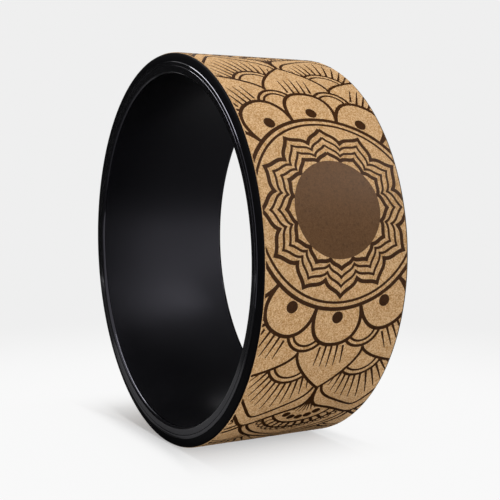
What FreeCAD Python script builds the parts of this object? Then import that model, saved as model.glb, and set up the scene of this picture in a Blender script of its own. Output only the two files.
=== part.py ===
"""Yoga wheel: a ring of bonded layers that is rolled under the back in back bends and balance work.

The wheel's axis lies along Y, Z is up and the origin is the wheel's centre. Every piece is a ring round
that axis, so each one is an outline of radius and place along the axis, turned about the axis. Places
along the axis are counted from the front face of an end, and each body's placement brings them to the
centre. From the hole outwards the wheel is a plastic tube, two end rings that sit in rebates at the
tube's ends, a foam cushion between two adhesive films, and a cork strip as the tread.
"""
import FreeCAD
import Part
import Sketcher
import math
import os

# Driving dimensions, in millimetres and degrees
DIMENSIONS = {
    # The whole wheel, over the front faces of its two end rings
    "wheel_width": 130.0,
    # Core tube: its hole, the lip inside each end ring, and the rounding at the mouth of the hole
    "bore_radius": 147.5,
    "lip_wall": 6.8,
    "mouth_round": 3.0,
    # End rings: the skirt that sits in the tube's rebate, and the flange that stands beside the tread
    "joint_gap": 0.1,
    "joint_round": 0.5,
    "skirt_wall": 1.8,
    "skirt_depth": 12.0,
    "flange_wall": 2.5,
    "flange_drop": 0.4,
    # The ring's polished face stands a step above its shoulder, which rolls over to the tread
    "face_step": 0.5,
    "step_round": 0.3,
    "shoulder_width": 7.0,
    "edge_land": 1.0,
    "edge_round": 0.8,
    # Layers bonded on the tube between the flanges, with a bond line between each and the next
    "bond_gap": 0.2,
    "film_wall": 0.2,
    "cushion_wall": 4.0,
    "cork_wall": 3.6,
    "strip_gap": 0.1,
    # Butt seams where the ends of each wrapped strip meet, turned about the axis from straight back
    "seam_gap": 0.4,
    "cushion_seam_angle": 45.0,
    "cork_seam_angle": 76.0,
}

FULL_TURN = 360.0
SAME_PLACE = 1e-6
AXIAL = FreeCAD.Vector(0, 1, 0)
UPRIGHT = FreeCAD.Vector(0, 0, 1)


class Size:
    """A length that knows its number and the sheet expression that it comes from."""

    def __init__(self, number, text):
        self.number = number
        self.text = text

    def __add__(self, other):
        return Size(self.number + other.number, f"({self.text} + {other.text})")

    def __sub__(self, other):
        return Size(self.number - other.number, f"({self.text} - {other.text})")

    def __mul__(self, other):
        return Size(self.number * other.number, f"({self.text} * {other.text})")

    def __truediv__(self, other):
        return Size(self.number / other.number, f"({self.text} / {other.text})")


def fill_sheet(doc):
    """Puts the driving dimensions into a sheet and gives each one back as a size."""
    sheet = doc.addObject("Spreadsheet::Sheet", "Sizes")
    sizes = {}
    for row, (name, number) in enumerate(DIMENSIONS.items(), start=1):
        sheet.set(f"A{row}", name)
        sheet.set(f"B{row}", str(number))
        sheet.setAlias(f"B{row}", name)
        sizes[name] = Size(number, f"Sizes.{name}")
    doc.recompute()
    return sizes


def origin_plane(body, role):
    """One of the planes of a body's own origin."""
    for feature in body.Origin.OriginFeatures:
        if feature.Role == role:
            return feature
    raise ValueError(f"{body.Label} has no {role}")


def round_stretch(start, end, radius):
    """The arc that bulges to the right of the way from start to end."""
    chord = end - start
    middle = (start + end) / 2
    left = UPRIGHT.cross(chord).normalize()
    centre = middle + left * math.sqrt(radius ** 2 - (chord.Length / 2) ** 2)
    first = math.atan2(start.y - centre.y, start.x - centre.x)
    last = math.atan2(end.y - centre.y, end.x - centre.x)
    return Part.ArcOfCircle(Part.Circle(centre, UPRIGHT, radius), first, last)


def place_point(sketch, edge, direction, axis_line, size):
    """Sets how far the first point of an edge lies from the sketch's origin in one direction."""
    if size.number == 0:
        sketch.addConstraint(Sketcher.Constraint("PointOnObject", edge, 1, axis_line))
        return
    index = sketch.addConstraint(Sketcher.Constraint(direction, -1, 1, edge, 1, size.number))
    sketch.setExpression(f"Constraints[{index}]", size.text)


def draw_outline(body, corners):
    """Draws a closed outline, anticlockwise, with radius across and place along the axis up.

    A corner is a radius and a place, with the radius of the arc that leads to the next corner if the
    stretch between them is round.
    """
    sketch = body.newObject("Sketcher::SketchObject", f"{body.Name}_outline")
    sketch.AttachmentSupport = [(origin_plane(body, "XY_Plane"), "")]
    sketch.MapMode = "FlatFace"
    points = [FreeCAD.Vector(corner[0].number, corner[1].number, 0) for corner in corners]
    for index, corner in enumerate(corners):
        start = points[index]
        end = points[(index + 1) % len(points)]
        if len(corner) == 3:
            sketch.addGeometry(round_stretch(start, end, corner[2].number))
        else:
            sketch.addGeometry(Part.LineSegment(start, end))
    for index, corner in enumerate(corners):
        before = (index - 1) % len(corners)
        sketch.addConstraint(Sketcher.Constraint("Coincident", before, 2, index, 1))
        place_point(sketch, index, "DistanceX", -2, corner[0])
        place_point(sketch, index, "DistanceY", -1, corner[1])
        if len(corner) == 3:
            curve = sketch.addConstraint(Sketcher.Constraint("Radius", index, corner[2].number))
            sketch.setExpression(f"Constraints[{curve}]", corner[2].text)
    return sketch


def turn_outline(doc, label, corners, seam=None):
    """A body whose outline goes round the axis, a whole turn or up to both sides of a seam."""
    body = doc.addObject("PartDesign::Body", label)
    body.Label = label
    sketch = draw_outline(body, corners)
    turned = body.newObject("PartDesign::Revolution", f"{label}_ring")
    turned.Profile = sketch
    turned.ReferenceAxis = (sketch, ["V_Axis"])
    turned.Midplane = True
    turned.Angle = FULL_TURN
    if seam:
        turned.setExpression("Angle", f"{FULL_TURN} - {seam.text} * 180 / pi")
    sketch.Visibility = False
    doc.recompute()
    return body, turned


def set_end(body, wheel_width, turn):
    """Puts a body's front face at the end of the wheel at -Y, or at +Y when it is turned end for end."""
    half = wheel_width / Size(2, "2")
    sign = "" if turn else "-"
    angle = FULL_TURN / 2 if turn else 0
    body.Placement = FreeCAD.Placement(FreeCAD.Vector(), FreeCAD.Rotation(UPRIGHT, angle))
    body.setExpression(".Placement.Base.y", f"{sign}{half.text}")


def turn_seam(body, angle):
    """Turns a wrapped strip about the wheel's axis, which moves its seam."""
    body.Placement = FreeCAD.Placement(body.Placement.Base, FreeCAD.Rotation(AXIAL, angle.number))
    body.setExpression(".Placement.Rotation.Angle", angle.text)


def round_edge(doc, body, turned, radius, place, size):
    """Rounds the circular edge of a turned body that has this radius and place."""
    for index, edge in enumerate(turned.Shape.Edges, start=1):
        circle = edge.Curve
        if not isinstance(circle, Part.Circle):
            continue
        across = abs(circle.Radius - radius.number)
        along = abs(circle.Center.y - place.number)
        if max(across, along) < SAME_PLACE:
            rounded = body.newObject("PartDesign::Fillet", f"{body.Name}_edge")
            rounded.Base = (turned, [f"Edge{index}"])
            rounded.setExpression("Radius", size.text)
            doc.recompute()
            return
    raise ValueError(f"{body.Label} has no edge at radius {radius.number} and place {place.number}")


def make_core_tube(doc, size, radius):
    """The load-bearing tube: rounded at the mouths of its hole, rebated outside for the rings' skirts."""
    width = size["wheel_width"]
    nothing = Size(0, "0")
    mouth = size["mouth_round"]
    joint = size["joint_round"]
    rebate = size["flange_wall"] + size["skirt_depth"] + size["joint_gap"]
    corners = [
        (radius["bore"] + mouth, nothing),
        (radius["lip"] - joint, nothing, joint),
        (radius["lip"], joint),
        (radius["lip"], rebate),
        (radius["core"], rebate),
        (radius["core"], width - rebate),
        (radius["lip"], width - rebate),
        (radius["lip"], width - joint, joint),
        (radius["lip"] - joint, width),
        (radius["bore"] + mouth, width, mouth),
        (radius["bore"], width - mouth),
        (radius["bore"], mouth, mouth),
    ]
    body, _ = turn_outline(doc, "core_tube", corners)
    set_end(body, width, False)
    return body


def make_rim_ring(doc, size, radius, label, turn):
    """An end ring: polished front face, a step down to the rounded shoulder, and a skirt in the rebate."""
    nothing = Size(0, "0")
    joint = size["joint_round"]
    flange = size["flange_wall"]
    step = size["face_step"]
    step_round = size["step_round"]
    shoulder = size["shoulder_width"]
    face_edge = radius["flange"] - shoulder
    shoulder_end = flange - size["edge_land"]
    fall = shoulder_end - step
    skirt_end = flange + size["skirt_depth"]
    shoulder_round = (shoulder * shoulder + fall * fall) / (fall + fall)
    corners = [
        (radius["skirt"] + joint, nothing),
        (face_edge - step_round, nothing, step_round),
        (face_edge, step_round),
        (face_edge, step, shoulder_round),
        (radius["flange"], shoulder_end),
        (radius["flange"], flange),
        (radius["core"], flange),
        (radius["core"], skirt_end),
        (radius["skirt"], skirt_end),
        (radius["skirt"], joint, joint),
    ]
    body, turned = turn_outline(doc, label, corners)
    round_edge(doc, body, turned, radius["flange"], shoulder_end, size["edge_round"])
    set_end(body, size["wheel_width"], turn)
    return body


def make_strip(doc, size, label, inside, wall, seam_angle):
    """A layer wrapped round the wheel between the flanges, its two ends butted at a seam."""
    outside = inside + wall
    start = size["flange_wall"] + size["strip_gap"]
    end = size["wheel_width"] - start
    corners = [(inside, start), (outside, start), (outside, end), (inside, end)]
    body, _ = turn_outline(doc, label, corners, seam=size["seam_gap"] / outside)
    set_end(body, size["wheel_width"], False)
    turn_seam(body, seam_angle)
    return body


def stack_radii(size):
    """The radii of the tube, and the inside radius of each layer on it, from the hole outwards."""
    bond = size["bond_gap"]
    radius = {"bore": size["bore_radius"]}
    radius["lip"] = radius["bore"] + size["lip_wall"]
    radius["skirt"] = radius["lip"] + size["joint_gap"]
    radius["core"] = radius["skirt"] + size["skirt_wall"]
    radius["core_film"] = radius["core"] + bond
    radius["cushion"] = radius["core_film"] + size["film_wall"] + bond
    radius["cover_film"] = radius["cushion"] + size["cushion_wall"] + bond
    radius["cork"] = radius["cover_film"] + size["film_wall"] + bond
    radius["flange"] = radius["cork"] + size["cork_wall"] - size["flange_drop"]
    return radius


def check_objects(doc, bodies):
    """Stops if any object of the document failed, or any body isn't one valid solid."""
    for item in doc.Objects:
        if "Invalid" in item.State or "Error" in item.State:
            raise RuntimeError(f"{item.Label} failed: {item.State}")
    for body in bodies:
        if body.Shape.isNull() or not body.Shape.isValid() or len(body.Shape.Solids) != 1:
            raise RuntimeError(f"{body.Label} isn't one valid solid")


def main():
    doc = FreeCAD.newDocument("yoga_wheel")
    size = fill_sheet(doc)
    radius = stack_radii(size)
    cushion_seam = size["cushion_seam_angle"]
    cork_seam = size["cork_seam_angle"]
    film = size["film_wall"]
    bodies = [
        make_core_tube(doc, size, radius),
        make_rim_ring(doc, size, radius, "left_rim_ring", False),
        make_rim_ring(doc, size, radius, "right_rim_ring", True),
        make_strip(doc, size, "core_adhesive_film", radius["core_film"], film, cushion_seam),
        make_strip(doc, size, "cushion_layer", radius["cushion"], size["cushion_wall"], cushion_seam),
        make_strip(doc, size, "cover_adhesive_film", radius["cover_film"], film, cork_seam),
        make_strip(doc, size, "cork_cover", radius["cork"], size["cork_wall"], cork_seam),
    ]
    doc.recompute()
    check_objects(doc, bodies)
    os.makedirs("parts", exist_ok=True)
    for body in bodies:
        body.Shape.exportStep(f"parts/{body.Label}.step")
        print(f"{body.Label}: {body.Shape.Volume / 1000:.1f} cm3")


main()
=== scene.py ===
# %% [markdown]
# A yoga wheel is a short, wide ring that carries a person's back. A black plastic tube takes the
# load, two glossy rings finish its ends, a foam strip softens it and a cork strip is the tread.
# The CAD model fixes every size. This file gives the same pieces their final meshes, their print
# and their finishes, and builds the plain studio around them.

# %% Load the frame
import math

import bmesh
import bpy
from mathutils import Matrix, Vector


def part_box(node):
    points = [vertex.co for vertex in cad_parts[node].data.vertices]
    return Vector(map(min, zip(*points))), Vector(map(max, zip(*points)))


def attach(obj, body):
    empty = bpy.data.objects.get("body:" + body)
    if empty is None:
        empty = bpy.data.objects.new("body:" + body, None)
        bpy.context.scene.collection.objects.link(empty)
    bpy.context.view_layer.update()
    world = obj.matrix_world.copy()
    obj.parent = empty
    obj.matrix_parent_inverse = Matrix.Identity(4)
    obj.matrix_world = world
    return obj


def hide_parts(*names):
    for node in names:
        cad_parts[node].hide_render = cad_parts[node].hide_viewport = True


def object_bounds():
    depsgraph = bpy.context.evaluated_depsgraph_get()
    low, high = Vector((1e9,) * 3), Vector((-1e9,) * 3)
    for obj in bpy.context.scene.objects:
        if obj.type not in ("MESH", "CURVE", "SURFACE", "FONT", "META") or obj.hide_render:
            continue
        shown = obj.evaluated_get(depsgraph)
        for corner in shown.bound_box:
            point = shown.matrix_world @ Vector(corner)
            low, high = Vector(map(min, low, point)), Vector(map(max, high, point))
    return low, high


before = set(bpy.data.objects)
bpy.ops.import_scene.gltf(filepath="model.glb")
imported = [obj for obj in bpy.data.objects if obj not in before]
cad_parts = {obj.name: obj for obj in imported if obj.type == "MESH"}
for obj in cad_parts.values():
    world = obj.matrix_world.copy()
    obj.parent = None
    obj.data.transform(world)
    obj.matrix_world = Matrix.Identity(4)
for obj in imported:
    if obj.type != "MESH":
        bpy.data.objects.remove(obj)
cad_low, cad_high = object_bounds()
print("CAD box, metres:", [round(x, 4) for x in (*cad_low, *cad_high)])

# %% [markdown]
# The wheel's axis is Y, and its middle is the origin. All the pieces are rings about that axis, so
# a place on the wheel is a radius, a distance along the axis and an angle, which is counted from
# +X, where the tread faces the camera, up towards +Z. The main sizes are read from the CAD boxes.

# %% Main sizes
MM = 0.001
FULL_TURN = 2 * math.pi
TURN_AXIS = (0, -1, 0)

tread_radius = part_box("cork_cover")[1].z
band_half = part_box("cork_cover")[1].y
face_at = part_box("core_tube")[1].y
rim_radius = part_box("right_rim_ring")[1].z
skirt_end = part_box("right_rim_ring")[0].y
core_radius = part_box("core_tube")[1].z
cushion_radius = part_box("cushion_layer")[1].z
floor_level = cad_low.z
print(f"tread radius {tread_radius / MM:.1f} mm, half band {band_half / MM:.1f} mm")

# %% [markdown]
# The camera was fitted to the outline in the photograph: it stands a little above the middle of the
# wheel and mostly on the tread's side, and its lens is a short telephoto. It aims a touch beside the
# middle, which is easier to read as two small angles than as a point in space. The Standard view
# transform shows a colour as it is written.

# %% Camera
VIEW_AZIMUTH = math.radians(61.881)
VIEW_ELEVATION = math.radians(4.451)
VIEW_DISTANCE = 0.87566
AIM_RIGHT = math.radians(0.974)
AIM_UP = math.radians(-0.117)
LENS = 71.963
SENSOR = 36.0

back = Vector((
    math.sin(VIEW_AZIMUTH) * math.cos(VIEW_ELEVATION),
    -math.cos(VIEW_AZIMUTH) * math.cos(VIEW_ELEVATION),
    math.sin(VIEW_ELEVATION),
))
right = (-back).cross(Vector((0, 0, 1))).normalized()
up = right.cross(-back)
aim = -back + math.tan(AIM_RIGHT) * right + math.tan(AIM_UP) * up
camera_data = bpy.data.cameras.new("camera")
camera_data.lens = LENS
camera_data.sensor_width = SENSOR
camera = bpy.data.objects.new("camera", camera_data)
camera.location = back * VIEW_DISTANCE
camera.rotation_euler = aim.to_track_quat("-Z", "Y").to_euler()
bpy.context.scene.collection.objects.link(camera)
bpy.context.scene.camera = camera
bpy.context.scene.view_settings.view_transform = "Standard"
print("camera at", [round(x, 3) for x in camera.location])

# %% [markdown]
# Materials here are node trees that are built in code. Four small helpers keep their cells short:
# one adds a node and sets its properties and sockets, one links a socket to another, one starts a
# material with its Principled shader, and one tells the rays that show a surface from the rays that
# only carry light.

# %% Node helpers
def add_node(tree, kind, sockets=None, **settings):
    """Adds a shader node, sets its properties, then the values of its sockets by name or number."""
    made = tree.nodes.new("ShaderNode" + kind)
    for setting, value in settings.items():
        setattr(made, setting, value)
    for socket, value in (sockets or {}).items():
        made.inputs[socket].default_value = value
    return made


def link(tree, source, target):
    """Feeds one socket into another."""
    tree.links.new(source, target)


def start_material(name):
    """A new material with a Principled shader: the material, its tree and that shader."""
    material = bpy.data.materials.new(name)
    material.use_nodes = True
    tree = material.node_tree
    return material, tree, tree.nodes["Principled BSDF"]


def showing_rays(tree):
    """A socket that is 1 for camera rays, mirror rays and rays through glass, and 0 for all others."""
    rays = add_node(tree, "LightPath")
    seen = add_node(tree, "Math", operation="MAXIMUM")
    seen_or_clear = add_node(tree, "Math", operation="MAXIMUM")
    link(tree, rays.outputs["Is Camera Ray"], seen.inputs[0])
    link(tree, rays.outputs["Is Glossy Ray"], seen.inputs[1])
    link(tree, seen.outputs[0], seen_or_clear.inputs[0])
    link(tree, rays.outputs["Is Transmission Ray"], seen_or_clear.inputs[1])
    return seen_or_clear.outputs[0]


print("node helpers ready")

# %% [markdown]
# The studio is a pale floor that runs out into a pale background with no line between them. One large
# square is enough for it, at the height where the tread touches down.

# %% Floor
FLOOR_HALF = 6.0

floor_mesh = bmesh.new()
bmesh.ops.create_grid(
    floor_mesh, x_segments=1, y_segments=1, size=FLOOR_HALF,
    matrix=Matrix.Translation((0, 0, floor_level)),
)
floor_data = bpy.data.meshes.new("floor")
floor_mesh.to_mesh(floor_data)
floor_mesh.free()
floor = bpy.data.objects.new("floor", floor_data)
bpy.context.scene.collection.objects.link(floor)
print("floor at", round(floor_level, 4))

# %% [markdown]
# The floor's paint is a pale grey that takes light and shadow. Rays that show it see an even tone
# instead, which falls off from the floor's to the background's with the distance from the wheel, so
# that no far edge shows. It stays an ordinary lit floor for all other light.

# %% Floor paint
BACKGROUND = 0.863
FLOOR_TONE = 0.945
FLOOR_NEAR = 0.30
FLOOR_FAR = 0.75

floor_paint, tree, shader = start_material("pale_floor")
floor_data.materials.append(floor_paint)
shader.inputs["Base Color"].default_value = (0.88, 0.88, 0.88, 1)
shader.inputs["Roughness"].default_value = 0.7
shader.inputs["Specular IOR Level"].default_value = 0.1
place = add_node(tree, "TexCoord")
away = add_node(tree, "VectorMath", operation="LENGTH")
fade = add_node(tree, "MapRange", {1: FLOOR_NEAR, 2: FLOOR_FAR}, interpolation_type="SMOOTHSTEP")
tone = add_node(tree, "MapRange", {3: FLOOR_TONE, 4: BACKGROUND})
backdrop = add_node(tree, "Emission")
link(tree, place.outputs["Object"], away.inputs[0])
link(tree, away.outputs["Value"], fade.inputs[0])
link(tree, fade.outputs[0], tone.inputs[0])
link(tree, tone.outputs[0], backdrop.inputs["Color"])
print("floor paint:", floor_paint.name)

# %% [markdown]
# The wheel's shadow lies in a short strip along its track, and there the lit paint shows through the
# even tone. How much of the tone is mixed in grows beside the track, beyond its ends and far away, and
# the largest of the three counts.

# %% Strip of floor that shows the shadow
TRACK_HALF = 0.062
TRACK_FADE = 0.09
TRACK_MIDDLE = -0.043
TRACK_NEAR = 0.007
TRACK_END = 0.177
SHADOW_SOFTENED = 0.3
BESIDE_SOFTENED = 0.95

split = add_node(tree, "SeparateXYZ")
aside = add_node(tree, "Math", operation="ABSOLUTE")
beside = add_node(
    tree, "MapRange", {1: TRACK_HALF, 2: TRACK_FADE, 3: SHADOW_SOFTENED, 4: BESIDE_SOFTENED},
    interpolation_type="SMOOTHSTEP",
)
along = add_node(tree, "Math", {1: TRACK_MIDDLE}, operation="SUBTRACT")
along_off = add_node(tree, "Math", operation="ABSOLUTE")
beyond = add_node(
    tree, "MapRange", {1: TRACK_NEAR, 2: TRACK_END, 3: SHADOW_SOFTENED, 4: 1.0},
    interpolation_type="SMOOTHSTEP",
)
off_track = add_node(tree, "Math", operation="MAXIMUM")
even = add_node(tree, "Math", operation="MAXIMUM")
shown = add_node(tree, "Math", operation="MULTIPLY")
mix = add_node(tree, "MixShader")
link(tree, place.outputs["Object"], split.inputs[0])
link(tree, split.outputs["Y"], aside.inputs[0])
link(tree, aside.outputs[0], beside.inputs[0])
link(tree, split.outputs["X"], along.inputs[0])
link(tree, along.outputs[0], along_off.inputs[0])
link(tree, along_off.outputs[0], beyond.inputs[0])
link(tree, beside.outputs[0], off_track.inputs[0])
link(tree, beyond.outputs[0], off_track.inputs[1])
link(tree, off_track.outputs[0], even.inputs[0])
link(tree, fade.outputs[0], even.inputs[1])
link(tree, showing_rays(tree), shown.inputs[0])
link(tree, even.outputs[0], shown.inputs[1])
link(tree, shown.outputs[0], mix.inputs[0])
link(tree, shader.outputs[0], mix.inputs[1])
link(tree, backdrop.outputs[0], mix.inputs[2])
link(tree, mix.outputs[0], tree.nodes["Material Output"].inputs["Surface"])
print("shadow shows to", TRACK_HALF, "m beside the track")

# %% [markdown]
# The world does two jobs. Rays that show it see the background's pale grey. All other rays get a
# weaker even light, which fills the shadows as white studio walls do.

# %% World
WALL_LIGHT = 0.36

world = bpy.data.worlds.new("studio")
world.use_nodes = True
bpy.context.scene.world = world
tree = world.node_tree
walls = tree.nodes["Background"]
walls.inputs["Color"].default_value = (1, 1, 1, 1)
walls.inputs["Strength"].default_value = WALL_LIGHT
sky = add_node(tree, "Background", {"Color": (BACKGROUND, BACKGROUND, BACKGROUND, 1)})
mix = add_node(tree, "MixShader")
link(tree, showing_rays(tree), mix.inputs[0])
link(tree, walls.outputs[0], mix.inputs[1])
link(tree, sky.outputs[0], mix.inputs[2])
link(tree, mix.outputs[0], tree.nodes["World Output"].inputs["Surface"])
print("wall light", WALL_LIGHT)

# %% [markdown]
# Three soft lamps do the rest. One hangs straight above and one high in front of the tread. Both are
# narrow along the wheel's axis, so the shadow fades out in front and behind but keeps the width of
# the wheel. A weak one stands beside the camera and fills the front. Mirror rays don't see the lamps:
# the cards of the next step do that work, where each one's place can be chosen for its reflection.

# %% Lamps
def hang_lamp(name, at, width, height, watts):
    """A soft rectangular lamp at a point, facing the wheel's middle."""
    data = bpy.data.lights.new(name, "AREA")
    data.shape = "RECTANGLE"
    data.size = width
    data.size_y = height
    data.energy = watts
    lamp = bpy.data.objects.new(name, data)
    lamp.location = at
    lamp.rotation_euler = (-Vector(at)).to_track_quat("-Z", "Y").to_euler()
    lamp.visible_glossy = False
    bpy.context.scene.collection.objects.link(lamp)


hang_lamp("overhead_lamp", (-0.1, 0.0, 2.0), 0.5, 0.9, 27)
hang_lamp("key_lamp", (1.5, 0.0, 1.5), 0.7, 2.0, 13.4)
hang_lamp("front_lamp", (1.25, -0.75, 0.20), 0.9, 0.9, 4.4)

# %% [markdown]
# Black plastic mirrors whatever stands around it. In a real studio dark cards, called flags, are
# placed there so that it stays black. One stands to the left of the near face, one lies before it with
# a grey one on top, and one stands in front. Behind the wheel one lies low, one hangs high and one
# stands to the left, and the gap between them lets the pale background make a soft sheen on the inside
# wall. Two cards are bright: a strip high in front draws the light lines on the rim's sloping edges,
# and a square one behind gives the ink its sheen, with a small flag that hides it from the inside
# wall. Only mirror rays see the cards, so they neither take light away nor add any.

# %% Flags and bright cards
def place_flag(name, at, towards, width, height, grey, glow=0.0):
    """A card at a point, facing a direction, that only mirror rays see."""
    cloth, tree, shader = start_material(name + "_cloth")
    shader.inputs["Base Color"].default_value = (grey, grey, grey, 1)
    shader.inputs["Roughness"].default_value = 0.9
    shader.inputs["Emission Color"].default_value = (1, 1, 1, 1)
    shader.inputs["Emission Strength"].default_value = glow
    turn = Vector(towards).to_track_quat("Z", "Y").to_matrix().to_4x4()
    card = bmesh.new()
    bmesh.ops.create_grid(
        card, x_segments=1, y_segments=1, size=0.5,
        matrix=Matrix.Translation(at) @ turn @ Matrix.Diagonal((width, height, 1, 1)),
    )
    data = bpy.data.meshes.new(name)
    card.to_mesh(data)
    card.free()
    data.materials.append(cloth)
    flag = bpy.data.objects.new(name, data)
    flag.visible_camera = False
    flag.visible_diffuse = False
    flag.visible_transmission = False
    flag.visible_shadow = False
    bpy.context.scene.collection.objects.link(flag)


place_flag("left_flag", (-1.15, -0.5, 0.4), (1, 0.4, 0), 1.5, 1.1, 0.02)
place_flag("floor_flag", (-0.45, -0.64, floor_level + 0.001), (0, 0, 1), 1.5, 1.52, 0.05)
place_flag("near_flag", (-0.2, -0.175, floor_level + 0.002), (0, 0, 1), 0.6, 0.19, 0.26)
place_flag("front_flag", (-0.3, -1.4, 0.0), (0, 1, 0), 1.8, 0.33, 0.15)
place_flag("back_flag", (-0.45, 0.75, 0.22), (0, -1, 0), 1.5, 0.77, 0.02)
place_flag("low_flag", (-0.1, 0.4, floor_level + 0.002), (0, 0, 1), 1.0, 0.64, 0.12)
place_flag("high_flag", (-0.2, 0.6, 0.6), (0, 0, -1), 1.2, 0.8, 0.05)
place_flag("strip_card", (-0.24, -0.61, 1.05), (0.276, 0.503, -0.819), 1.34, 0.18, 0.8, glow=11)
place_flag("side_flag", (0.045, 0.245, 0.135), (0, -1, 0), 0.16, 0.16, 0.02)
place_flag("sheen_card", (0.7, 0.98, 0.72), (-0.5, -0.7, -0.52), 0.5, 0.5, 0.8, glow=6)

# %% [markdown]
# Every piece ends the same way: doubled points are merged, faces are turned outwards, the mesh
# becomes an object at the origin, its flat faces and round ones are told apart by the angle between
# them, and it rides on the wheel's one body and says which CAD nodes it stands for.

# %% Helper that keeps a finished piece
SAME_POINT = 1e-7
SHARP_ANGLE = math.radians(32)


def keep_piece(shape, name, material, slot, *nodes):
    """Turns a finished bmesh into a piece of the wheel."""
    bmesh.ops.remove_doubles(shape, verts=shape.verts, dist=SAME_POINT)
    bmesh.ops.recalc_face_normals(shape, faces=shape.faces)
    mesh = bpy.data.meshes.new(name)
    shape.to_mesh(mesh)
    shape.free()
    mesh.shade_smooth()
    mesh.set_sharp_from_angle(angle=SHARP_ANGLE)
    mesh.materials.append(material)
    piece = bpy.data.objects.new(name, mesh)
    bpy.context.scene.collection.objects.link(piece)
    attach(piece, "root")
    if nodes:
        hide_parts(*nodes)
    triangles = sum(len(face.vertices) - 2 for face in mesh.polygons)
    print(f"{name}: {triangles} triangles, stands for {nodes}")
    return piece


# %% [markdown]
# The rings are turned like work on a lathe: an outline in the plane of the axis, spun about it. One
# helper draws the outline from corners and spins it, either all the way round, closed on itself, or
# nearly so from a face, which leaves the two end faces of a strip that meets in a seam. Another
# finds the circle of edges at a corner, so that a bevel can round it after the spin.

# %% Lathe helpers
def turn_outline(corners, steps, gap=0.0, gap_at=0.0):
    """Spins (radius, along) corners about the axis, with an open seam at an angle if gap is given."""
    shape = bmesh.new()
    points = [shape.verts.new((radius, along, 0)) for radius, along in corners]
    drawn = shape.faces.new(points)
    if gap:
        bmesh.ops.spin(
            shape, geom=[drawn, *drawn.edges, *points], axis=TURN_AXIS, cent=(0, 0, 0),
            angle=FULL_TURN - gap, steps=steps,
        )
        bmesh.ops.rotate(
            shape, verts=shape.verts, cent=(0, 0, 0),
            matrix=Matrix.Rotation(gap_at + gap / 2, 3, TURN_AXIS),
        )
        return shape
    shape.faces.remove(drawn)
    bmesh.ops.spin(
        shape, geom=[*shape.edges, *points], axis=TURN_AXIS, cent=(0, 0, 0),
        angle=FULL_TURN, steps=steps, use_merge=True,
    )
    return shape


def circle_at(shape, radius, along, slack=0.02 * MM):
    """The edges that run round the axis at one corner of the outline."""
    def there(point):
        out = math.hypot(point.co.x, point.co.z)
        return abs(out - radius) < slack and abs(point.co.y - along) < slack

    return [edge for edge in shape.edges if all(there(point) for point in edge.verts)]


def round_circle(shape, radius, along, offset, segments):
    """Bevels the circle of edges at one corner."""
    bmesh.ops.bevel(
        shape, geom=circle_at(shape, radius, along), offset=offset, offset_type="OFFSET",
        segments=segments, profile=0.5, affect="EDGES", material=-1,
    )


# %% [markdown]
# Moulded plastic is never quite even: the mould's fine texture breaks up its sheen, and its wall is
# very slightly wavy. All the blacks need that, so it is one node group with its own scales, placed in
# each material with other values. It gives a fine grain and a slow ripple.

# %% Node group for moulded plastic
skin = bpy.data.node_groups.new("moulded_skin", "ShaderNodeTree")
skin.interface.new_socket("Place", in_out="INPUT", socket_type="NodeSocketVector")
skin.interface.new_socket("Grain Scale", in_out="INPUT", socket_type="NodeSocketFloat")
skin.interface.new_socket("Ripple Scale", in_out="INPUT", socket_type="NodeSocketFloat")
skin.interface.new_socket("Grain", in_out="OUTPUT", socket_type="NodeSocketFloat")
skin.interface.new_socket("Ripple", in_out="OUTPUT", socket_type="NodeSocketFloat")
given = skin.nodes.new("NodeGroupInput")
result = skin.nodes.new("NodeGroupOutput")
grain = add_node(skin, "TexNoise", {"Detail": 3.0, "Roughness": 0.6})
ripple = add_node(skin, "TexNoise", {"Detail": 2.0, "Roughness": 0.5})
link(skin, given.outputs["Place"], grain.inputs["Vector"])
link(skin, given.outputs["Place"], ripple.inputs["Vector"])
link(skin, given.outputs["Grain Scale"], grain.inputs["Scale"])
link(skin, given.outputs["Ripple Scale"], ripple.inputs["Scale"])
link(skin, grain.outputs["Fac"], result.inputs["Grain"])
link(skin, ripple.outputs["Fac"], result.inputs["Ripple"])
print("group", skin.name, "with", len(skin.nodes), "nodes")

# %% [markdown]
# The wheel shows three blacks: the satin of the tube's wall, the polish of its ends and of the rings'
# faces, and the matt shoulder of the rings. They are the same pigment, so one function makes all
# three from their roughness and shine. The grain changes the colour and the relief, and the ripple
# the sheen. Its tint is a little blue, as the sheen of this pigment is.

# %% Materials of the black plastics
SHEEN_TINT = (0.86, 0.84, 1.0, 1)
NOISE_LOW = 0.3
NOISE_HIGH = 0.7
DARKER = 0.8
LIGHTER = 1.25


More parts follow.
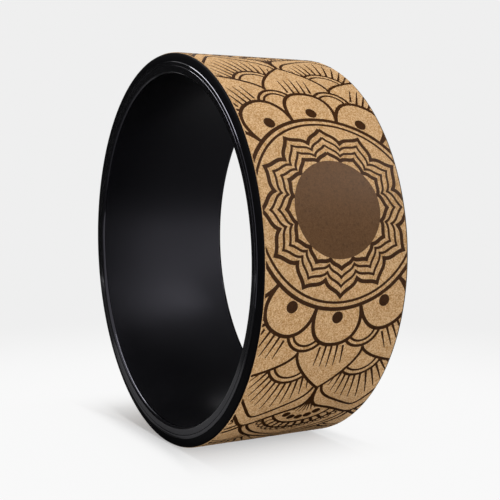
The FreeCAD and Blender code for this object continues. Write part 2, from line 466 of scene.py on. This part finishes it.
def black_plastic(name, colour, grain_scale, ripple_scale, rough, bump, shine):
    """A moulded black: rough is the range of roughness, bump the grain's depth in metres."""
    material, tree, shader = start_material(name)
    place = add_node(tree, "TexCoord")
    surface = add_node(tree, "Group", node_tree=skin)
    surface.inputs["Grain Scale"].default_value = grain_scale
    surface.inputs["Ripple Scale"].default_value = ripple_scale
    sheen = add_node(tree, "MapRange", {1: NOISE_LOW, 2: NOISE_HIGH, 3: rough[0], 4: rough[1]})
    shade = add_node(tree, "MapRange", {1: NOISE_LOW, 2: NOISE_HIGH, 3: DARKER, 4: LIGHTER})
    tint = add_node(tree, "Mix", {"Factor": 1.0, 6: (*colour, 1)}, data_type="RGBA",
                    blend_type="MULTIPLY")
    relief = add_node(tree, "Bump", {"Strength": 1.0, "Distance": bump})
    link(tree, place.outputs["Object"], surface.inputs["Place"])
    link(tree, surface.outputs["Ripple"], sheen.inputs[0])
    link(tree, surface.outputs["Grain"], shade.inputs[0])
    link(tree, shade.outputs[0], tint.inputs[7])
    link(tree, tint.outputs[2], shader.inputs["Base Color"])
    link(tree, sheen.outputs[0], shader.inputs["Roughness"])
    link(tree, surface.outputs["Grain"], relief.inputs["Height"])
    link(tree, relief.outputs[0], shader.inputs["Normal"])
    shader.inputs["Specular IOR Level"].default_value = shine
    shader.inputs["Specular Tint"].default_value = SHEEN_TINT
    return material


satin_black = black_plastic(
    "satin_black", (0.001, 0.001, 0.0012), 1800, 14, (0.30, 0.36), 0.01 * MM, shine=0.52
)
gloss_black = black_plastic(
    "gloss_black", (0.002, 0.002, 0.0024), 900, 20, (0.08, 0.13), 0.002 * MM, shine=0.66
)
matt_black = black_plastic(
    "matt_black", (0.0015, 0.0015, 0.0018), 2200, 20, (0.50, 0.60), 0.02 * MM, shine=0.06
)
print("plastics:", satin_black.name, gloss_black.name, matt_black.name)

# %% [markdown]
# The tube is extruded on the real wheel and its ends are turned: the outside steps in where each end
# ring's skirt sits, and the mouth is well rounded so that hands can hold it. The joint with the ring
# is a small groove with a sloping side, which catches the light as a bright line. Here the stepped
# outline is spun in one go and the mouth is bevelled after that. Ends and mouths are polished.

# %% Core tube
BORE_RADIUS = 147.5 * MM
LIP_RADIUS = 154.3 * MM
JOINT_GAP = 0.1 * MM
MOUTH_ROUND = 3.0 * MM
EDGE_DEPTH = 0.5 * MM
EDGE_SLOPE = 0.3 * MM
LIP_SLOPE = 0.12 * MM
RING_STEPS = 360

step_at = skirt_end - JOINT_GAP
edge_at = face_at - EDGE_DEPTH
half_wall = [
    (BORE_RADIUS, face_at), (LIP_RADIUS - LIP_SLOPE, face_at),
    (LIP_RADIUS, face_at - LIP_SLOPE), (LIP_RADIUS, step_at), (core_radius, step_at),
]
other_half = [(radius, -along) for radius, along in reversed(half_wall)]
tube = turn_outline(half_wall + other_half, RING_STEPS)
for end in (-face_at, face_at):
    round_circle(tube, BORE_RADIUS, end, MOUTH_ROUND, segments=8)
tube = keep_piece(tube, "tube_wall", satin_black, "satin_black_plastic", "core_tube")
tube.data.materials.append(gloss_black)
for face in tube.data.polygons:
    out = math.hypot(face.center.x, face.center.z)
    at_mouth = abs(face.center.y) > face_at - MOUTH_ROUND and out < LIP_RADIUS - EDGE_SLOPE
    face.material_index = int(at_mouth or abs(face.center.y) > edge_at)

# %% [markdown]
# Each end ring is a moulding with a polished flat face, a small step, a matt shoulder that falls away
# to the tread's edge, and a skirt that is glued into the tube's step. The step slopes a little, so
# that the moulding leaves its tool, and shines as a second bright line. The shoulder is a slow arc,
# so its points come from one formula, and the whole outline is spun round the wheel. The far ring is
# the near one, mirrored.

# %% Rim rings
SKIRT_INSIDE = 154.4 * MM
FACE_EDGE = 157.6 * MM
JOINT_ROUND = 0.5 * MM
FLANGE_BACK = 62.5 * MM
SHOULDER_RADIUS = 25 * MM
SHOULDER_STEPS = 6
EDGE_ROUND = 0.8 * MM

shoulder_turn = math.asin((rim_radius - FACE_EDGE) / SHOULDER_RADIUS)
shoulder = [
    (
        FACE_EDGE + SHOULDER_RADIUS * math.sin(shoulder_turn * step / SHOULDER_STEPS),
        edge_at - SHOULDER_RADIUS * (1 - math.cos(shoulder_turn * step / SHOULDER_STEPS)),
    )
    for step in range(SHOULDER_STEPS + 1)
]
for side, name, node in ((-1, "near_rim", "left_rim_ring"), (1, "far_rim", "right_rim_ring")):
    outline = [
        (SKIRT_INSIDE, skirt_end), (SKIRT_INSIDE, face_at), (FACE_EDGE - EDGE_SLOPE, face_at),
        (FACE_EDGE, face_at - EDGE_SLOPE), *shoulder,
        (rim_radius, FLANGE_BACK), (core_radius, FLANGE_BACK), (core_radius, skirt_end),
    ]
    rim = turn_outline([(radius, side * along) for radius, along in outline], RING_STEPS)
    round_circle(rim, SKIRT_INSIDE, side * face_at, JOINT_ROUND, segments=4)
    round_circle(rim, rim_radius, side * shoulder[-1][1], EDGE_ROUND, segments=4)
    rim = keep_piece(rim, name, gloss_black, "gloss_black_plastic", node)
    rim.data.materials.append(matt_black)
    for face in rim.data.polygons:
        out = math.hypot(face.center.x, face.center.z)
        face.material_index = int(out > FACE_EDGE)

# %% [markdown]
# Cork sheet is pressed from ground cork, so it is a mosaic of small granules, each with its own
# tan, with a few dark bits of bark. The ink soaks into the same granules, so the mosaic is a node
# group that the cork and both inks share. Cells of a Voronoi texture are the granules.

# %% Node group for cork granules
BITS_SCALE = 0.55
BARK_FROM = 0.90
BARK_FULL = 0.97

granules = bpy.data.node_groups.new("cork_granules", "ShaderNodeTree")
granules.interface.new_socket("Place", in_out="INPUT", socket_type="NodeSocketVector")
granules.interface.new_socket("Granule Scale", in_out="INPUT", socket_type="NodeSocketFloat")
granules.interface.new_socket("Cloud Scale", in_out="INPUT", socket_type="NodeSocketFloat")
for output in ("Tone", "Bark", "Cloud", "Height"):
    granules.interface.new_socket(output, in_out="OUTPUT", socket_type="NodeSocketFloat")
given = granules.nodes.new("NodeGroupInput")
result = granules.nodes.new("NodeGroupOutput")
cells = add_node(granules, "TexVoronoi", {"Randomness": 1.0})
bits_scale = add_node(granules, "Math", {1: BITS_SCALE}, operation="MULTIPLY")
bits = add_node(granules, "TexVoronoi", {"Randomness": 1.0})
cells_tone = add_node(granules, "SeparateColor")
bits_tone = add_node(granules, "SeparateColor")
bark = add_node(granules, "MapRange", {1: BARK_FROM, 2: BARK_FULL})
cloud = add_node(granules, "TexNoise", {"Detail": 4.0, "Roughness": 0.6})
height = add_node(granules, "MapRange", {1: 0.0, 2: 0.7, 3: 1.0, 4: 0.0})
for texture in (cells, bits, cloud):
    link(granules, given.outputs["Place"], texture.inputs["Vector"])
link(granules, given.outputs["Granule Scale"], cells.inputs["Scale"])
link(granules, given.outputs["Granule Scale"], bits_scale.inputs[0])
link(granules, bits_scale.outputs[0], bits.inputs["Scale"])
link(granules, given.outputs["Cloud Scale"], cloud.inputs["Scale"])
link(granules, cells.outputs["Color"], cells_tone.inputs[0])
link(granules, bits.outputs["Color"], bits_tone.inputs[0])
link(granules, bits_tone.outputs[0], bark.inputs[0])
link(granules, cells.outputs["Distance"], height.inputs[0])
link(granules, cells_tone.outputs[0], result.inputs["Tone"])
link(granules, bark.outputs[0], result.inputs["Bark"])
link(granules, cloud.outputs["Fac"], result.inputs["Cloud"])
link(granules, height.outputs[0], result.inputs["Height"])
print("group", granules.name, "with", len(granules.nodes), "nodes")

# %% [markdown]
# Bare cork is dull, and ink on it dries to a faint sheen. All three finishes are granules between two
# tones, with bits of bark and slow clouds, so one function makes them. The granules also give the
# relief and the small changes of roughness.

# %% Materials of the cork and its inks
GRANULE_SCALE = 1150
CLOUD_SCALE = 45
CLOUD_DARKER = 0.93
CLOUD_LIGHTER = 1.06


def cork_finish(name, dark, light, bark_colour, bark_share, rough, bump, shine):
    """Cork granules between two tones, with bits of bark mixed in by a share."""
    material, tree, shader = start_material(name)
    place = add_node(tree, "TexCoord")
    mosaic = add_node(tree, "Group", node_tree=granules)
    mosaic.inputs["Granule Scale"].default_value = GRANULE_SCALE
    mosaic.inputs["Cloud Scale"].default_value = CLOUD_SCALE
    tone = add_node(tree, "Mix", {6: (*dark, 1), 7: (*light, 1)}, data_type="RGBA")
    share = add_node(tree, "Math", {1: bark_share}, operation="MULTIPLY")
    barked = add_node(tree, "Mix", {7: (*bark_colour, 1)}, data_type="RGBA")
    clouds = add_node(
        tree, "MapRange", {1: NOISE_LOW, 2: NOISE_HIGH, 3: CLOUD_DARKER, 4: CLOUD_LIGHTER}
    )
    clouded = add_node(tree, "Mix", {"Factor": 1.0}, data_type="RGBA", blend_type="MULTIPLY")
    sheen = add_node(tree, "MapRange", {3: rough[0], 4: rough[1]})
    relief = add_node(tree, "Bump", {"Strength": 1.0, "Distance": bump})
    link(tree, place.outputs["Object"], mosaic.inputs["Place"])
    link(tree, mosaic.outputs["Tone"], tone.inputs["Factor"])
    link(tree, mosaic.outputs["Bark"], share.inputs[0])
    link(tree, share.outputs[0], barked.inputs["Factor"])
    link(tree, tone.outputs[2], barked.inputs[6])
    link(tree, mosaic.outputs["Cloud"], clouds.inputs[0])
    link(tree, barked.outputs[2], clouded.inputs[6])
    link(tree, clouds.outputs[0], clouded.inputs[7])
    link(tree, clouded.outputs[2], shader.inputs["Base Color"])
    link(tree, mosaic.outputs["Tone"], sheen.inputs[0])
    link(tree, sheen.outputs[0], shader.inputs["Roughness"])
    link(tree, mosaic.outputs["Height"], relief.inputs["Height"])
    link(tree, relief.outputs[0], shader.inputs["Normal"])
    shader.inputs["Specular IOR Level"].default_value = shine
    return material


cork = cork_finish(
    "cork", (0.345, 0.181, 0.060), (0.615, 0.412, 0.228), (0.27, 0.14, 0.05), 0.35,
    (0.75, 0.9), 0.05 * MM, shine=0.10,
)
line_ink = cork_finish(
    "line_ink", (0.026, 0.0078, 0.0006), (0.043, 0.0145, 0.0014), (0.014, 0.005, 0.0005), 0.5,
    (0.40, 0.52), 0.01 * MM, shine=0.13,
)
disc_ink = cork_finish(
    "disc_ink", (0.074, 0.0325, 0.009), (0.105, 0.049, 0.0175), (0.05, 0.022, 0.006), 0.5,
    (0.36, 0.46), 0.01 * MM, shine=0.19,
)
print("cork and inks:", cork.name, line_ink.name, disc_ink.name)

# %% [markdown]
# Foam is a mass of small bubbles. Where it is cut they are open pores. Its own tone is near black, and
# the bottom of each pore is painted darker as painted shade. The distance to the middle of a Voronoi
# cell gives both that painted shade and the relief.

# %% Foam
foam, tree, shader = start_material("foam")
place = add_node(tree, "TexCoord")
pores = add_node(tree, "TexVoronoi", {"Scale": 1400.0, "Randomness": 1.0})
# The foam's own near-black, painted darker towards each pore's middle as painted shade in the pore.
foam_tone_and_pore_shade = add_node(tree, "Mix", {6: (0.010, 0.010, 0.011, 1), 7: (0.03, 0.03, 0.031, 1)},
                     data_type="RGBA")
relief = add_node(tree, "Bump", {"Strength": 1.0, "Distance": 0.1 * MM})
shader.inputs["Roughness"].default_value = 0.95
link(tree, place.outputs["Object"], pores.inputs["Vector"])
link(tree, pores.outputs["Distance"], foam_tone_and_pore_shade.inputs["Factor"])
link(tree, foam_tone_and_pore_shade.outputs[2], shader.inputs["Base Color"])
link(tree, pores.outputs["Distance"], relief.inputs["Height"])
link(tree, relief.outputs[0], shader.inputs["Normal"])
print("foam:", foam.name)

# %% [markdown]
# The foam strip under the cork is wrapped round the tube and meets in a seam at the back. Only the
# hairline beside the flange lets it show, but it is what makes the tread springy, so it has its own
# mesh with the slightly swollen edges of foam that is pressed between two rings.

# %% Cushion
CUSHION_INSIDE = 156.8 * MM
CUSHION_EDGE = 1.2 * MM
SEAM_GAP = 0.4 * MM
CUSHION_SEAM = math.radians(135)

cushion = turn_outline(
    [
        (CUSHION_INSIDE, -band_half), (cushion_radius, -band_half),
        (cushion_radius, band_half), (CUSHION_INSIDE, band_half),
    ],
    RING_STEPS, SEAM_GAP / cushion_radius, CUSHION_SEAM,
)
for end in (-band_half, band_half):
    round_circle(cushion, cushion_radius, end, CUSHION_EDGE, segments=4)
    round_circle(cushion, CUSHION_INSIDE, end, CUSHION_EDGE, segments=4)
cushion = keep_piece(cushion, "cushion_wrap", foam, "cushion_foam", "cushion_layer")

# %% [markdown]
# The two films are thin double-sided tapes with a crinkled backing. Their CAD solids are the right
# shape and lie out of sight between the layers, so they stay and only get a finish.

# %% Adhesive films
film, tree, shader = start_material("adhesive_film")
place = add_node(tree, "TexCoord")
crinkle = add_node(tree, "TexNoise", {"Scale": 260.0, "Detail": 5.0, "Distortion": 0.8})
film_tone = add_node(tree, "Mix", {6: (0.52, 0.48, 0.38, 1), 7: (0.68, 0.64, 0.54, 1)},
                     data_type="RGBA")
relief = add_node(tree, "Bump", {"Strength": 1.0, "Distance": 0.05 * MM})
shader.inputs["Roughness"].default_value = 0.5
link(tree, place.outputs["Object"], crinkle.inputs["Vector"])
link(tree, crinkle.outputs["Fac"], film_tone.inputs["Factor"])
link(tree, film_tone.outputs[2], shader.inputs["Base Color"])
link(tree, crinkle.outputs["Fac"], relief.inputs["Height"])
link(tree, relief.outputs[0], shader.inputs["Normal"])
for node in ("core_adhesive_film", "cover_adhesive_film"):
    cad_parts[node].data.materials.clear()
    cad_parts[node].data.materials.append(film)
    print(node, "has", film.name)

# %% [markdown]
# The tread is one cork strip, wrapped round the cushion and butted at a seam that lies between the
# two printed medallions. Its cut edges are a little worn, so they are rounded by half a millimetre.

# %% Cork tread
TREAD_INSIDE = 161.4 * MM
TREAD_EDGE = 0.5 * MM
TREAD_SEAM = math.radians(104)
TREAD_STEPS = 720

tread = turn_outline(
    [
        (TREAD_INSIDE, -band_half), (tread_radius, -band_half),
        (tread_radius, band_half), (TREAD_INSIDE, band_half),
    ],
    TREAD_STEPS, SEAM_GAP / tread_radius, TREAD_SEAM,
)
for end in (-band_half, band_half):
    round_circle(tread, tread_radius, end, TREAD_EDGE, segments=3)
keep_piece(tread, "cork_tread", cork, "printed_cork", "cork_cover")

# %% [markdown]
# The print is a traditional lotus mandala: rings of petals round a plain disc, the same twelve times
# about. It could be a texture, but lines two millimetres wide blur when a texture is baked, and a
# printed line stands a little proud anyway. So each line is a pen stroke: a list of points on the
# flat strip, in millimetres from the medallion's middle, with a width. A ring of petals is one
# formula that says how far out its edge lies at each angle, and that same formula hides the parts
# of later strokes that would lie under the petals.

# %% Pen strokes on the flat strip
PETALS = 12
PETAL_TURN = FULL_TURN / PETALS
BAND_EDGE = band_half / MM
strokes = []


def on_strip(radius, angle):
    """A point of the print, as (along the strip, across it)."""
    return Vector((radius * math.cos(angle), radius * math.sin(angle)))


def from_tip(angle, shift=0.0):
    """How far an angle is from the nearest petal's tip: 0 there, 1 midway between two tips."""
    return min(abs(2 * ((angle / PETAL_TURN - shift + 0.5) % 1 - 0.5)), 1)


def petal_ring(foot, tip, shift, point, sharp, dome, span=1.0, soft=0.0):
    """How far out a ring of petals reaches at an angle: a dome with a point on it, blunt if soft."""
    def reach(angle):
        out = min(from_tip(angle, shift) / span, 1)
        blunt = (math.hypot(out, soft) - soft) / (math.hypot(1, soft) - soft)
        return foot + (tip - foot) * (point * (1 - blunt) ** sharp
                                      + (1 - point) * math.sqrt(1 - out ** dome))
    return reach


def behind(*rings):
    """Tells whether a point lies under any of these rings of petals."""
    def hidden(point):
        angle = math.atan2(point.y, point.x)
        return any(point.length < ring(angle) for ring in rings)
    return hidden


def pen(points, width, hidden=None, end_width=None):
    """Keeps the shown runs of a stroke that touches the band. Its width may taper to end_width."""
    runs = [[]]
    for count, point in enumerate(points):
        share = count / (len(points) - 1)
        if hidden and hidden(point):
            runs.append([])
        else:
            runs[-1].append((point, width + ((end_width or width) - width) * share))
    for run in runs:
        if len(run) > 1 and any(abs(point.y) < BAND_EDGE + 2 * width for point, _ in run):
            strokes.append(run)


def draw_ring(reach, shift, width, hidden=None, half_steps=22, span=1.0):
    """Draws every petal of a ring, from foot to foot. Steps are closer at the feet, which are steep."""
    for petal in range(PETALS):
        bends = [math.sin(math.pi / 2 * step / half_steps) for step in range(-half_steps, half_steps + 1)]
        angles = [(petal + shift + span * bend / 2) * PETAL_TURN for bend in bends]
        pen([on_strip(reach(angle), angle) for angle in angles], width, hidden)


print("petals in a ring:", PETALS)

# %% [markdown]
# From the middle outwards come a star of nested zigzag lines round the disc, two circles, and round
# scallops with a bead in each. A line of the star is one stroke all the way round, a little steeper
# at its points and notches than between them. Small double arches peep out between the scallops.

# %% Star, circles and scallops
BOLD = 3.1
MEDIUM = 2.5
THIN = 2.0
STAR_STEPS = 20
CIRCLE_STEPS = 240
beads = []

for foot, tip, width in ((54, 65.2, BOLD), (48.2, 57.7, THIN), (42.8, 51, THIN), (38.5, 44.3, BOLD)):
    star = []
    middle = (tip + foot) / 2
    half = (tip - foot) / 2
    for step in range(PETALS * STAR_STEPS + 1):
        angle = PETAL_TURN * step / STAR_STEPS
        rise = 1 - 2 * from_tip(angle)
        star.append(on_strip(middle + half * (0.6 * rise + 0.4 * rise ** 3), angle))
    pen(star, width)
for radius, width in ((69.8, THIN), (74.8, BOLD)):
    turns = [FULL_TURN * step / CIRCLE_STEPS for step in range(CIRCLE_STEPS + 1)]
    pen([on_strip(radius, turn) for turn in turns], width)

scallops = petal_ring(75, 104, 0, 0, 1, 2.4)
draw_ring(scallops, 0, BOLD)


def around(radius, angle, distance, turn):
    """A point at a distance from a point of the print, turned from the way outwards."""
    return on_strip(radius, angle) + on_strip(distance, angle + turn)


def arc(radius, angle, distance, half_turn, width, hidden, steps=28):
    """Draws part of a circle about a point of the print."""
    turns = [half_turn * (2 * step / steps - 1) for step in range(steps + 1)]
    pen([around(radius, angle, distance, turn) for turn in turns], width, hidden)


for petal in range(PETALS):
    beads.append((on_strip(81.6, petal * PETAL_TURN), 4.8))
    for distance, width in ((16.6, MEDIUM), (12.2, THIN)):
        arc(94, (petal + 0.5) * PETAL_TURN, distance, math.radians(110), width, behind(scallops))
print(len(strokes), "strokes and", len(beads), "beads so far")

# %% [markdown]
# Next comes a ring of pointed petals with short hatching at their feet, and behind these a ring of
# wide petals with a second line inside their edge. Each wide petal holds a double arch that sends out
# a fan of rays. A ray starts broad at the arch and runs out thin.

# %% Pointed petals and wide petals
RAY = 2.2
RAY_END = 0.7
INSIDE_SPAN = 0.91
BLUNT = 0.12
ARCH_AT = 120
ARCH_RADIUS = 20.3


def ray(start, heading, length, hidden=None, steps=10):
    """A stroke from a point of the print in a direction, thinning towards its end."""
    points = [start + on_strip(length * step / steps, heading) for step in range(steps + 1)]
    pen(points, RAY, hidden, RAY_END)


small_arches = petal_ring(80, 110.6, 0.5, 0, 1, 2.2)
pointed = petal_ring(112, 146.5, 0, 0.85, 1, 8)
wide = petal_ring(147, 195, 0.5, 0.5, 2.2, 9, soft=BLUNT)
wide_inside = petal_ring(141, 181.5, 0.5, 0.42, 2.5, 2.6, INSIDE_SPAN, BLUNT)
under_small = behind(scallops, small_arches)
under_pointed = behind(scallops, small_arches, pointed)
draw_ring(pointed, 0, MEDIUM, under_small)
draw_ring(wide, 0.5, BOLD, under_pointed)
draw_ring(wide_inside, 0.5, MEDIUM, under_pointed, span=INSIDE_SPAN)
for petal in range(PETALS):
    for lane in range(-2, 3):
        angle = petal * PETAL_TURN + math.radians(2.8 * lane)
        ray(on_strip(104, angle), angle, 21 - 1.2 * abs(lane), under_small)
    middle = (petal + 0.5) * PETAL_TURN
    for distance, width in ((ARCH_RADIUS, MEDIUM), (15.4, THIN)):
        arc(ARCH_AT, middle, distance, math.radians(80), width, under_pointed)
    for count in range(-5, 6):
        turn = math.radians(14 * count)
        start = around(ARCH_AT, middle, ARCH_RADIUS, turn)
        ray(start, middle + 0.42 * turn, 30 - 2.4 * abs(count), under_pointed)
print(len(strokes), "strokes and", len(beads), "beads so far")

# %% [markdown]
# Outside the wide petals a small fan opens in each gap: rays, a row of beads, two arcs with a lace of
# loops between them, and small loops along the outer arc. A ring of outer petals holds these fans, and
# a last ring with arches and rays fills the corners as far as the line where the medallions meet.

# %% Fans and outer petals
LACE = 1.6
LACE_TURN = math.radians(12)
LOOP_TURN = math.radians(10)
OUTER_SPAN = 0.95
CORNER_AT = 208
CORNER_RADIUS = 24


def loop(at, size, hidden, steps=14):
    """A small round loop of the lace, about a point of the print."""
    pen([at + on_strip(size, FULL_TURN * step / steps) for step in range(steps + 1)], LACE, hidden)


wide_and_in = behind(pointed, wide)
outer = petal_ring(193, 232, 0, 0.6, 1, 3)
outer_inside = petal_ring(187, 225, 0, 0.6, 1, 3, OUTER_SPAN)
under_outer = behind(wide, outer)
last = petal_ring(241, 290, 0.5, 0.5, 2.2, 9, soft=BLUNT)
last_inside = petal_ring(234, 277, 0.5, 0.42, 2.5, 2.6, soft=BLUNT)
draw_ring(outer, 0, BOLD, wide_and_in)
draw_ring(outer_inside, 0, MEDIUM, wide_and_in)
draw_ring(last, 0.5, BOLD, under_outer)
draw_ring(last_inside, 0.5, MEDIUM, under_outer)
for petal in range(PETALS):
    middle = petal * PETAL_TURN
    for count in range(-3, 4):
        turn = math.radians(11 * count)
        ray(around(158, middle, 2, turn), middle + turn, 17, wide_and_in)
    for count in range(-2, 3):
        beads.append((around(168.5, middle, 17.6, math.radians(26 * count)), 3.7))
    arc(165, middle, 29.7, math.radians(62), MEDIUM, wide_and_in)
    arc(168, middle, 37, math.radians(66), MEDIUM, wide_and_in)
    for count in range(-4, 5):
        loop(around(166.5, middle, 33.4, LACE_TURN * count), 4.4, wide_and_in)
    for count in range(-6, 7):
        loop(around(168, middle, 39.8, LOOP_TURN * count), 2.6, wide_and_in)
    corner = (petal + 0.5) * PETAL_TURN
    for distance, width in ((CORNER_RADIUS, MEDIUM), (19, THIN)):
        arc(CORNER_AT, corner, distance, math.radians(100), width, under_outer)
    for count in range(-6, 7):
        turn = math.radians(12 * count)
        start = around(CORNER_AT, corner, CORNER_RADIUS, turn)
        ray(start, corner + 0.7 * turn, 24, under_outer)
beads = [(at, radius) for at, radius in beads if abs(at.y) < BAND_EDGE + 2 * radius]
print(len(strokes), "strokes and", len(beads), "beads in all")

# %% [markdown]
# The strokes become one curve with a round pen of the fewest sides, which gives each stroke a low
# ridge. Where a line turns, the pen is widened so that the corner keeps its full width. The curve is
# then made a mesh and pressed flat, and the beads join it as flattened spheres.

# %% Strokes to a mesh
INK_HEIGHT = 0.10 * MM
INK_LIFT = 0.03 * MM
WIDEST_CORNER = 1.7


def corner_widening(run, count):
    """How much wider the pen is at a corner, so that both arms keep their width."""
    if count in (0, len(run) - 1):
        return 1.0
    before = (run[count][0] - run[count - 1][0]).normalized()
    after = (run[count + 1][0] - run[count][0]).normalized()
    return min(1 / max(math.sqrt((1 + before.dot(after)) / 2), 0.1), WIDEST_CORNER)


def strokes_mesh():
    """All the strokes and beads on the flat strip, in metres."""
    line = bpy.data.curves.new("strokes", "CURVE")
    line.dimensions = "3D"
    line.twist_mode = "Z_UP"
    line.bevel_depth = 1.0
    line.bevel_resolution = 0
    line.use_fill_caps = True
    for run in strokes:
        spline = line.splines.new("POLY")
        spline.points.add(len(run) - 1)
        for count, (point, width) in enumerate(run):
            spline.points[count].co = (point.x * MM, point.y * MM, 0, 1)
            spline.points[count].radius = width / 2 * MM * corner_widening(run, count)
    holder = bpy.data.objects.new("strokes", line)
    bpy.context.scene.collection.objects.link(holder)
    made = bpy.data.meshes.new_from_object(
        holder.evaluated_get(bpy.context.evaluated_depsgraph_get())
    )
    bpy.data.objects.remove(holder)
    shape = bmesh.new()
    shape.from_mesh(made)
    bpy.data.meshes.remove(made)
    for at, radius in beads:
        size = Matrix.Diagonal((radius * MM, radius * MM, INK_HEIGHT, 1))
        bmesh.ops.create_uvsphere(
            shape, u_segments=20, v_segments=6, radius=1.0,
            matrix=Matrix.Translation((at.x * MM, at.y * MM, 0)) @ size,
        )
    bmesh.ops.remove_doubles(shape, verts=shape.verts, dist=SAME_POINT)
    for vert in shape.verts:
        vert.co.z = max(-INK_HEIGHT, min(INK_HEIGHT, vert.co.z)) + INK_LIFT
    return shape


flat_print = strokes_mesh()
print("print on the flat strip:", len(flat_print.faces), "faces")

# %% [markdown]
# The real strip was printed flat, trimmed and wrapped, and so is this one. The print is set a little
# to one side, as it is in the photograph, cut along the band's edges and where the two medallions
# meet, and bent round the tread once for the front and once for the rear.

# %% Cut and wrap the print
MEDALLION_AT = math.radians(14)
MEDALLION_ASIDE = 2.3 * MM
meeting = math.pi * tread_radius / 2 - SEAM_GAP / 2


def cut_at(shape, point, outwards):
    """Cuts the print off at a plane and closes the cut ends."""
    cut = bmesh.ops.bisect_plane(
        shape, geom=[*shape.verts, *shape.edges, *shape.faces], dist=1e-9,
        plane_co=point, plane_no=outwards, clear_outer=True,
    )
    open_edges = [item for item in cut["geom_cut"] if isinstance(item, bmesh.types.BMEdge)]
    bmesh.ops.holes_fill(shape, edges=open_edges, sides=0)


def wrap(shape, middle):
    """Bends the flat print round the tread, with its middle at an angle."""
    for vert in shape.verts:
        along, across, up = vert.co
        angle = middle + along / tread_radius
        out = tread_radius + up
        vert.co = (out * math.cos(angle), across, out * math.sin(angle))


worn_edge = band_half - TREAD_EDGE
bmesh.ops.translate(flat_print, verts=flat_print.verts, vec=(0, MEDALLION_ASIDE, 0))
for side in (-1, 1):
    cut_at(flat_print, (0, side * worn_edge, 0), (0, side, 0))
    cut_at(flat_print, (side * meeting, 0, 0), (side, 0, 0))
for name, middle in (("front", MEDALLION_AT), ("rear", MEDALLION_AT + math.pi)):
    lines = flat_print.copy()
    wrap(lines, middle)
    keep_piece(lines, name + "_mandala_lines", line_ink, "printed_cork")
flat_print.free()

# %% [markdown]
# The plain disc in the middle of each medallion is solid ink. A row of points from its middle to its
# edge is spun into a disc, so that it has enough faces to bend with the tread, then thickened.

# %% Disc of each medallion
DISC_RADIUS = 37.4
DISC_RINGS = 14
DISC_STEPS = 144

for name, middle in (("front", MEDALLION_AT), ("rear", MEDALLION_AT + math.pi)):
    disc = bmesh.new()
    row = [
        disc.verts.new((DISC_RADIUS * MM * count / DISC_RINGS, 0, 0))
        for count in range(DISC_RINGS + 1)
    ]
    spokes = [disc.edges.new(pair) for pair in zip(row, row[1:])]
    bmesh.ops.spin(
        disc, geom=[*row, *spokes], axis=(0, 0, 1), cent=(0, 0, 0),
        angle=FULL_TURN, steps=DISC_STEPS, use_merge=True,
    )
    bmesh.ops.remove_doubles(disc, verts=disc.verts, dist=SAME_POINT)
    top = bmesh.ops.extrude_face_region(disc, geom=disc.faces[:], use_keep_orig=True)
    raised = [item for item in top["geom"] if isinstance(item, bmesh.types.BMVert)]
    bmesh.ops.translate(disc, verts=raised, vec=(0, 0, INK_HEIGHT + INK_LIFT))
    bmesh.ops.translate(disc, verts=disc.verts, vec=(0, MEDALLION_ASIDE, -INK_LIFT))
    wrap(disc, middle)
    keep_piece(disc, name + "_mandala_disc", disc_ink, "printed_cork")
